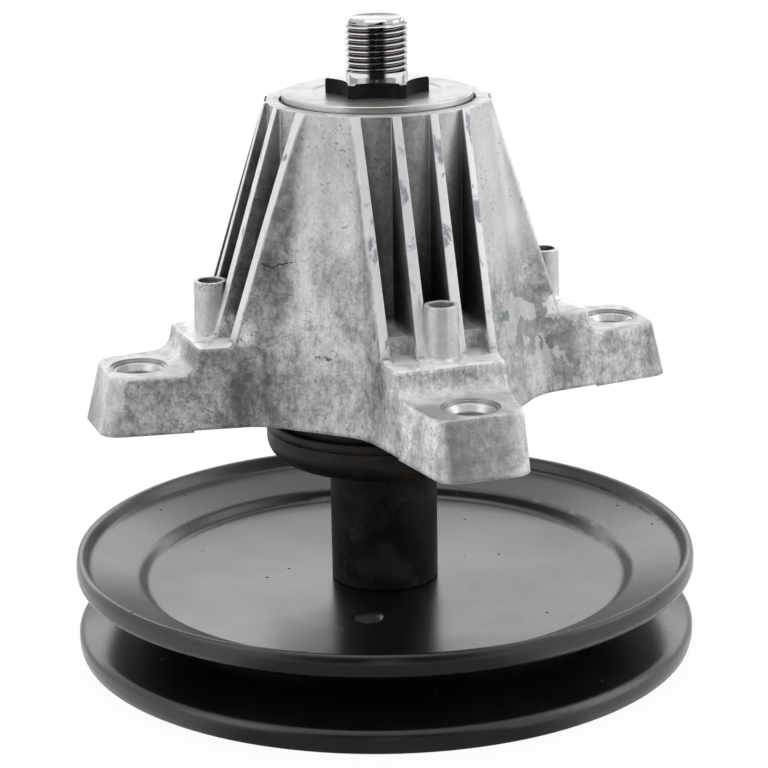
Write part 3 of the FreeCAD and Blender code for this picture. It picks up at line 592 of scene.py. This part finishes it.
def dress():
    """Gives every CAD node its material."""
    pulley = satin_black()
    ground = plain_detail("bearing_steel", grey(0.62), 1.0, 0.16, 400)
    rubber = plain_detail("seal_rubber", grey(0.02), 0.0, 0.5, 900)
    cage = plain_detail("cage_nylon", (0.55, 0.48, 0.34, 1.0), 0.0, 0.45, 500)
    finishes = {
        "housing": cast_aluminium(),
        "blade_disc": turned_steel("turned_disc", 0.60, 0.30, 0.38),
        "spacer_sleeve": black_oxide("sleeve_oxide", WARM, 1.22),
        "flinger_cup": black_oxide("cup_oxide", CUP_BROWN, 1.36),
        "pulley_upper_disc": pulley,
        "pulley_lower_disc": pulley,
        "pulley_nut": plain_detail("zinc_steel", grey(0.58, (1.0, 1.0, 0.96)), 1.0, 0.3, 300),
        "bearing_spacer": turned_steel("spacer_steel", 0.5, 0.25, 0.4),
    }
    for name, node in nodes.items():
        finish = finishes.get(name, ground)
        if "seal" in name:
            finish = rubber
        elif "cage" in name:
            finish = cage
        node.data.materials.clear()
        node.data.materials.append(finish)
        node.data.shade_smooth()
        node.data.set_sharp_from_angle(angle=CAD_SHARP)


# Shaft with real threads and star, in place of the plain CAD shaft

TURNS = 240
SHAFT_SHARP = math.radians(28)
# Which of the shaft's materials a band of faces has
THREAD = 0
BLACK = 1
BRIGHT = 2


class Rings:
    """Mesh made of rings of TURNS points about the axis."""

    def __init__(self):
        self.points = []
        self.faces = []
        self.paint = []
        self.last = None

    def ring(self, radius, height, paint=THREAD):
        """Ring joined to the last one; radius and height are numbers or functions of the angle."""
        first = len(self.points)
        for k in range(TURNS):
            a = 2 * math.pi * k / TURNS
            r = radius(a) if callable(radius) else radius
            z = height(a) if callable(height) else height
            self.points.append((r * math.cos(a) * MM, r * math.sin(a) * MM, z * MM))
        if self.last is not None:
            for k in range(TURNS):
                n = (k + 1) % TURNS
                self.faces.append((self.last + k, self.last + n, first + n, first + k))
                self.paint.append(paint)
        self.last = first

    def cap(self, height, paint=THREAD, up=True):
        """Closes the last ring with a flat face."""
        self.points.append((0, 0, height * MM))
        centre = len(self.points) - 1
        for k in range(TURNS):
            n = (k + 1) % TURNS
            pair = (self.last + k, self.last + n) if up else (self.last + n, self.last + k)
            self.faces.append((*pair, centre))
            self.paint.append(paint)

    def build(self, name, materials):
        mesh = bpy.data.meshes.new(name)
        mesh.from_pydata(self.points, [], self.faces)
        for material in materials:
            mesh.materials.append(material)
        mesh.polygons.foreach_set("material_index", self.paint)
        mesh.shade_smooth()
        mesh.set_sharp_from_angle(angle=SHAFT_SHARP)
        obj = bpy.data.objects.new(name, mesh)
        bpy.context.scene.collection.objects.link(obj)
        return obj


def thread_rings(rings, low, high, limit):
    """Helical thread between two heights; limit(z) is the largest radius allowed there."""
    rows = int((high - low) / THREAD_PITCH) + 2
    for turn in range(-1, rows):
        for share, level in THREAD_PROFILE:
            start = low + (turn + share) * THREAD_PITCH

            def height(a, start=start):
                return min(max(start + THREAD_PITCH * a / (2 * math.pi), low), high)

            def radius(a, level=level, height=height):
                return min(CREST - THREAD_DEPTH * (1 - level), limit(height(a)))

            rings.ring(radius, height)


def nut_limit(z):
    """Chamfer at the shaft's lower end."""
    return min(CREST, NUT_END + max(0.0, z - NUT_LOW))


def stud_limit(z):
    """Chamfer at the stud's tip."""
    return min(CREST, STUD_END + max(0.0, STUD_HIGH - z))


def star_radius(a):
    """Outline of the star: six points, with round valleys between them."""
    off = (a - STAR_TURN) % STAR_STEP - STAR_STEP / 2
    side = VALLEY_AT * math.sin(off)
    if abs(side) >= VALLEY_RADIUS:
        return STAR_TIP
    valley = VALLEY_AT * math.cos(off) - math.sqrt(VALLEY_RADIUS * VALLEY_RADIUS - side * side)
    return min(STAR_TIP, valley)


def star_edge(a):
    """Height of the star's upper edge, lower at the points."""
    return STAR_HIGH - max(0.0, star_radius(a) - STAR_BREAK)


def star_flat(a):
    """Outline of the star's flat top."""
    return min(star_radius(a) - STAR_INSET, STAR_BREAK)


def shaft():
    """Shaft from the pulley nut's thread to the stud's tip."""
    finishes = [thread_steel(), black_star(), turned_steel("turned_star", 0.48, 0.14, 0.24)]
    r = Rings()
    r.ring(NUT_END, NUT_LOW)
    r.cap(NUT_LOW, up=False)
    thread_rings(r, NUT_LOW, NUT_HIGH, nut_limit)
    r.ring(RELIEF, NUT_HIGH)
    r.ring(RELIEF, RELIEF_TOP)
    r.ring(SEAT, RELIEF_TOP)
    r.ring(SEAT, SEAT_TOP)
    r.ring(JOURNAL, SEAT_TOP)
    r.ring(JOURNAL, STAR_LOW)
    r.ring(star_radius, STAR_LOW, BLACK)
    r.ring(star_radius, star_edge, BLACK)
    r.ring(star_flat, STAR_HIGH, BRIGHT)
    r.ring(STAR_INNER, STAR_HIGH, BRIGHT)
    r.ring(STUD_NECK, STAR_HIGH, BRIGHT)
    r.ring(STUD_NECK, STUD_LOW)
    thread_rings(r, STUD_LOW, STUD_HIGH, stud_limit)
    r.ring(DIMPLE_RIM, STUD_HIGH, BRIGHT)
    r.ring(DIMPLE, DIMPLE_LEVEL, BRIGHT)
    r.cap(DIMPLE_LEVEL, BRIGHT)
    piece = r.build("threaded_shaft", finishes)
    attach(piece, "spindle")
    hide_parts("spindle_shaft")


# Stage: floor, light and camera

CAMERA_SIDE = Vector((-0.322, -0.947, 0.0)).normalized()
FLOOR_SIZE = 6.0
FLOOR_GREY = 0.93
FLOOR_GLOW = 0.93
# Half the light's level from behind the object, 0, to behind the camera, 1, which is a small bright spot
LIGHT_ROUND = ((0.0, 0.17), (0.20, 0.56), (0.30, 0.52), (0.60, 0.48), (0.86, 0.44), (0.95, 0.03),
               (1.0, 0.015), (1.0, 1.0))
# Soft boxes: place, aim and size in metres, power in watts
LAMPS = {
    "left_box": ((-0.75, -0.15, 0.45), (0, 0, 0.09), (0.5, 0.7), 1.0),
    "right_box": ((0.75, -0.25, 0.40), (0, 0, 0.09), (0.5, 0.7), 1.6),
    "top_box": ((0.0, 0.1, 0.95), (0, 0, 0.1), (0.7, 0.7), 1.5),
    "back_box": ((0.145, 0.426, 0.235), (0, 0, 0.235), (1.3, 0.15), 1.25),
}
# Camera fitted to the photo: focal length in pixels, distance and height in millimetres, angles in radians
PHOTO_WIDTH = 768
SENSOR_WIDTH = 36.0
FOCAL = 2515.4
CAMERA_FAR = 635.25
CAMERA_HIGH = 254.23
CAMERA_PITCH = 0.2842
CAMERA_ROLL = -0.0163
CAMERA_PAN = 0.0008
CAMERA_TURN = math.radians(-18.8)


def floor():
    """White floor that keeps the shadow; reflections find it dimmer on the camera's side."""
    s = Shader("floor_white")
    s.set(Base_Color=grey(FLOOR_GREY), Roughness=0.6)
    seen = s.add("ShaderNodeLightPath").outputs
    lit = s.main.outputs[0]
    glow = s.add("ShaderNodeEmission", {"Color": grey(1.0), "Strength": 1.0}).outputs[0]
    white = s.add("ShaderNodeMixShader", {0: FLOOR_GLOW, 1: lit, 2: glow}).outputs[0]
    ahead = s.vector("DOT_PRODUCT", s.where, CAMERA_SIDE)
    reach = s.vector("LENGTH", s.where)
    sector = s.band(s.math("DIVIDE", ahead, reach), 0.74, 0.92)
    close = s.band(reach, 0.26, 0.18, 0.25, 0.72)
    far = s.band(reach, 0.45, 0.52, 0.0, 0.99)
    dim = s.opposite(s.product(sector, s.math("MAXIMUM", close, far)))
    mirrored = s.add("ShaderNodeEmission", {"Color": grey(1.0), "Strength": dim}).outputs[0]
    both = s.add("ShaderNodeMixShader", {0: seen["Is Glossy Ray"], 1: white, 2: mirrored}).outputs[0]
    direct = s.math("MAXIMUM", seen["Is Camera Ray"], seen["Is Glossy Ray"])
    direct = s.math("MAXIMUM", direct, seen["Is Transmission Ray"])
    last = s.add("ShaderNodeMixShader", {0: direct, 1: lit, 2: both}).outputs[0]
    s.put(s.tree.nodes["Material Output"].inputs["Surface"], last)
    bpy.ops.mesh.primitive_plane_add(size=FLOOR_SIZE, location=(0, 0, 0))
    plane = bpy.context.object
    plane.name = "floor"
    plane.data.materials.append(s.material)


def world():
    """White to the camera; for the light, dimmer straight behind the object and dark behind the camera."""
    studio = bpy.data.worlds.new("studio")
    bpy.context.scene.world = studio
    studio.use_nodes = True
    n = Nodes(studio.node_tree)
    direction = n.add("ShaderNodeTexCoord").outputs["Generated"]
    side = n.vector("DOT_PRODUCT", direction, CAMERA_SIDE)
    ramp = n.add("ShaderNodeFloatCurve", {"Value": n.multiply_add(side, 0.5, 0.5)})
    curve = ramp.mapping.curves[0]
    while len(curve.points) < len(LIGHT_ROUND):
        curve.points.new(1.0, 1.0)
    for point, place in zip(curve.points, LIGHT_ROUND):
        point.location = place
    ramp.mapping.update()
    level = n.math("MULTIPLY", ramp.outputs[0], 2.0)
    seen = n.add("ShaderNodeLightPath").outputs["Is Camera Ray"]
    strength = n.add("ShaderNodeMix", {0: seen, 2: level, 3: 1.0}).outputs[0]
    back = studio.node_tree.nodes["Background"]
    n.put(back.inputs["Color"], grey(1.0))
    n.put(back.inputs["Strength"], strength)


def lamp(name, place, aim, size, power):
    """Rectangular area light."""
    data = bpy.data.lights.new(name, "AREA")
    data.shape = "RECTANGLE"
    data.size, data.size_y = size
    data.energy = power
    obj = bpy.data.objects.new(name, data)
    bpy.context.scene.collection.objects.link(obj)
    obj.location = place
    obj.rotation_mode = "QUATERNION"
    obj.rotation_quaternion = (Vector(aim) - Vector(place)).to_track_quat("-Z", "Y")


def camera():
    """Camera that sees the object as the photo does."""
    data = bpy.data.cameras.new("camera")
    data.sensor_width = SENSOR_WIDTH
    data.lens = FOCAL * SENSOR_WIDTH / PHOTO_WIDTH
    data.clip_start = 0.01
    data.clip_end = 20
    obj = bpy.data.objects.new("camera", data)
    bpy.context.scene.collection.objects.link(obj)
    right = Vector((math.cos(CAMERA_PAN), -math.sin(CAMERA_PAN), 0))
    ahead = Vector((math.sin(CAMERA_PAN), math.cos(CAMERA_PAN), 0))
    look = ahead * math.cos(CAMERA_PITCH) - Vector((0, 0, math.sin(CAMERA_PITCH)))
    up = ahead * math.sin(CAMERA_PITCH) + Vector((0, 0, math.cos(CAMERA_PITCH)))
    side = right * math.cos(CAMERA_ROLL) + up * math.sin(CAMERA_ROLL)
    top = up * math.cos(CAMERA_ROLL) - right * math.sin(CAMERA_ROLL)
    spin = Matrix.Rotation(CAMERA_TURN, 3, "Z")
    axes = Matrix((spin @ side, spin @ top, spin @ -look)).transposed().to_4x4()
    place = spin @ Vector((0, -CAMERA_FAR * MM, CAMERA_HIGH * MM))
    obj.matrix_world = Matrix.Translation(place) @ axes
    bpy.context.scene.camera = obj


dress()
shaft()
floor()
world()
for lamp_name, settings in LAMPS.items():
    lamp(lamp_name, *settings)
camera()
bpy.context.scene.view_settings.view_transform = "Standard"
